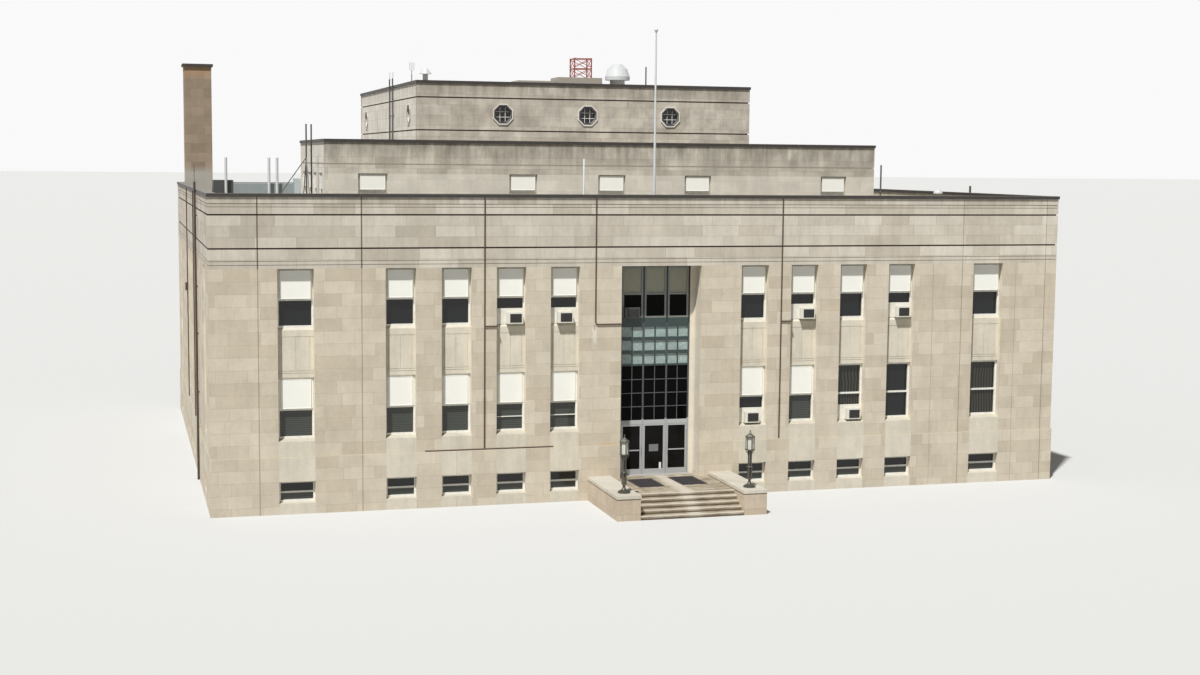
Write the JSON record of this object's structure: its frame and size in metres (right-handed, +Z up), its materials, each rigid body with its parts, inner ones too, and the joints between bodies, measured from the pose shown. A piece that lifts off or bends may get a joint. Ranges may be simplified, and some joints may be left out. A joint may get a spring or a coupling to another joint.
{
  "type": "town hall",
  "caption": "Two-storey stone town hall over a raised basement, with two set-back upper tiers, a tall glazed entrance screen with swinging doors, front steps and two post lanterns",
  "frame": {"origin": "the middle of the plan, at the level of the foot of the front steps", "axes": "+Z up, -Y towards the front with the entrance, +X to the right as seen from the front"},
  "size_m": [36.8798, 34.6, 19.45],
  "materials": {
    "facing_stone": "sawn limestone",
    "upper_stone": "weathered limestone",
    "step_stone": "honed stone",
    "concrete": "cast concrete",
    "coping_metal": "dull dark paint",
    "white_paint": "satin white",
    "bronze_green": "matt bronze green",
    "leaf_metal": "brushed",
    "clear_glass": "clear",
    "rough_glass": "cast, translucent",
    "lantern_glass": "opal",
    "cooler_metal": "dull",
    "conduit_metal": "dull brown",
    "red_paint": "dull red"
  },
  "bodies": {
    "building": {"basement_floor": "concrete", "entrance_floor": "concrete", "main_floor": "concrete", "second_floor": "concrete", "roof_deck": "concrete", "front_piers": "facing_stone", "back_piers": "facing_stone", "side_piers": "facing_stone", "aprons": "facing_stone", "spandrels": "facing_stone", "front_frieze": "facing_stone", "back_frieze": "facing_stone", "side_friezes": "facing_stone", "long_copings": "coping_metal", "side_copings": "coping_metal", "upper_sashes": "white_paint", "lower_sashes": "white_paint", "basement_sashes": "white_paint", "window_panes": "clear_glass", "entrance_surround": "facing_stone", "screen_posts": "bronze_green", "screen_rails": "bronze_green", "screen_muntins": "bronze_green", "screen_panes": "clear_glass", "rough_panes": "rough_glass", "fixed_leaf": "leaf_metal", "steps": "step_stone", "cheek_walls": "facing_stone", "cheek_caps": "step_stone", "lantern_posts": "bronze_green", "lantern_heads": "bronze_green", "lantern_panes": "lantern_glass", "tier2_front_wall": "upper_stone", "tier2_side_walls": "upper_stone", "tier2_back_walls": "upper_stone", "tier2_roof": "concrete", "tier2_windows": "white_paint", "tier3_front_wall": "upper_stone", "tier3_side_walls": "upper_stone", "tier3_lower_walls": "upper_stone", "tier3_back_wall": "upper_stone", "tier3_floor": "concrete", "tier3_roof": "concrete", "octagon_windows": "white_paint", "chimney": "facing_stone", "flagpole": "white_paint", "roof_vents": "white_paint", "roof_boxes": "cooler_metal", "roof_poles": "coping_metal", "lattice_mast": "red_paint", "air_conditioners": "cooler_metal", "wall_conduits": "conduit_metal", "downpipes": "coping_metal"},
    "left_leaf": {"left_door": "leaf_metal", "left_door_pane": "clear_glass"},
    "right_leaf": {"right_door": "leaf_metal", "right_door_pane": "clear_glass"}
  },
  "joints": [
    {"name": "left_door_hinge", "type": "hinge", "parent": "building", "child": "left_leaf", "pos_m": [-1.4465, -12.129, 1.9], "axis": [0, 0, -1], "range_deg": [0, 90]},
    {"name": "right_door_hinge", "type": "hinge", "parent": "building", "child": "right_leaf", "pos_m": [1.4465, -12.129, 1.9], "axis": [0, 0, 1], "range_deg": [0, 90]}
  ]
}
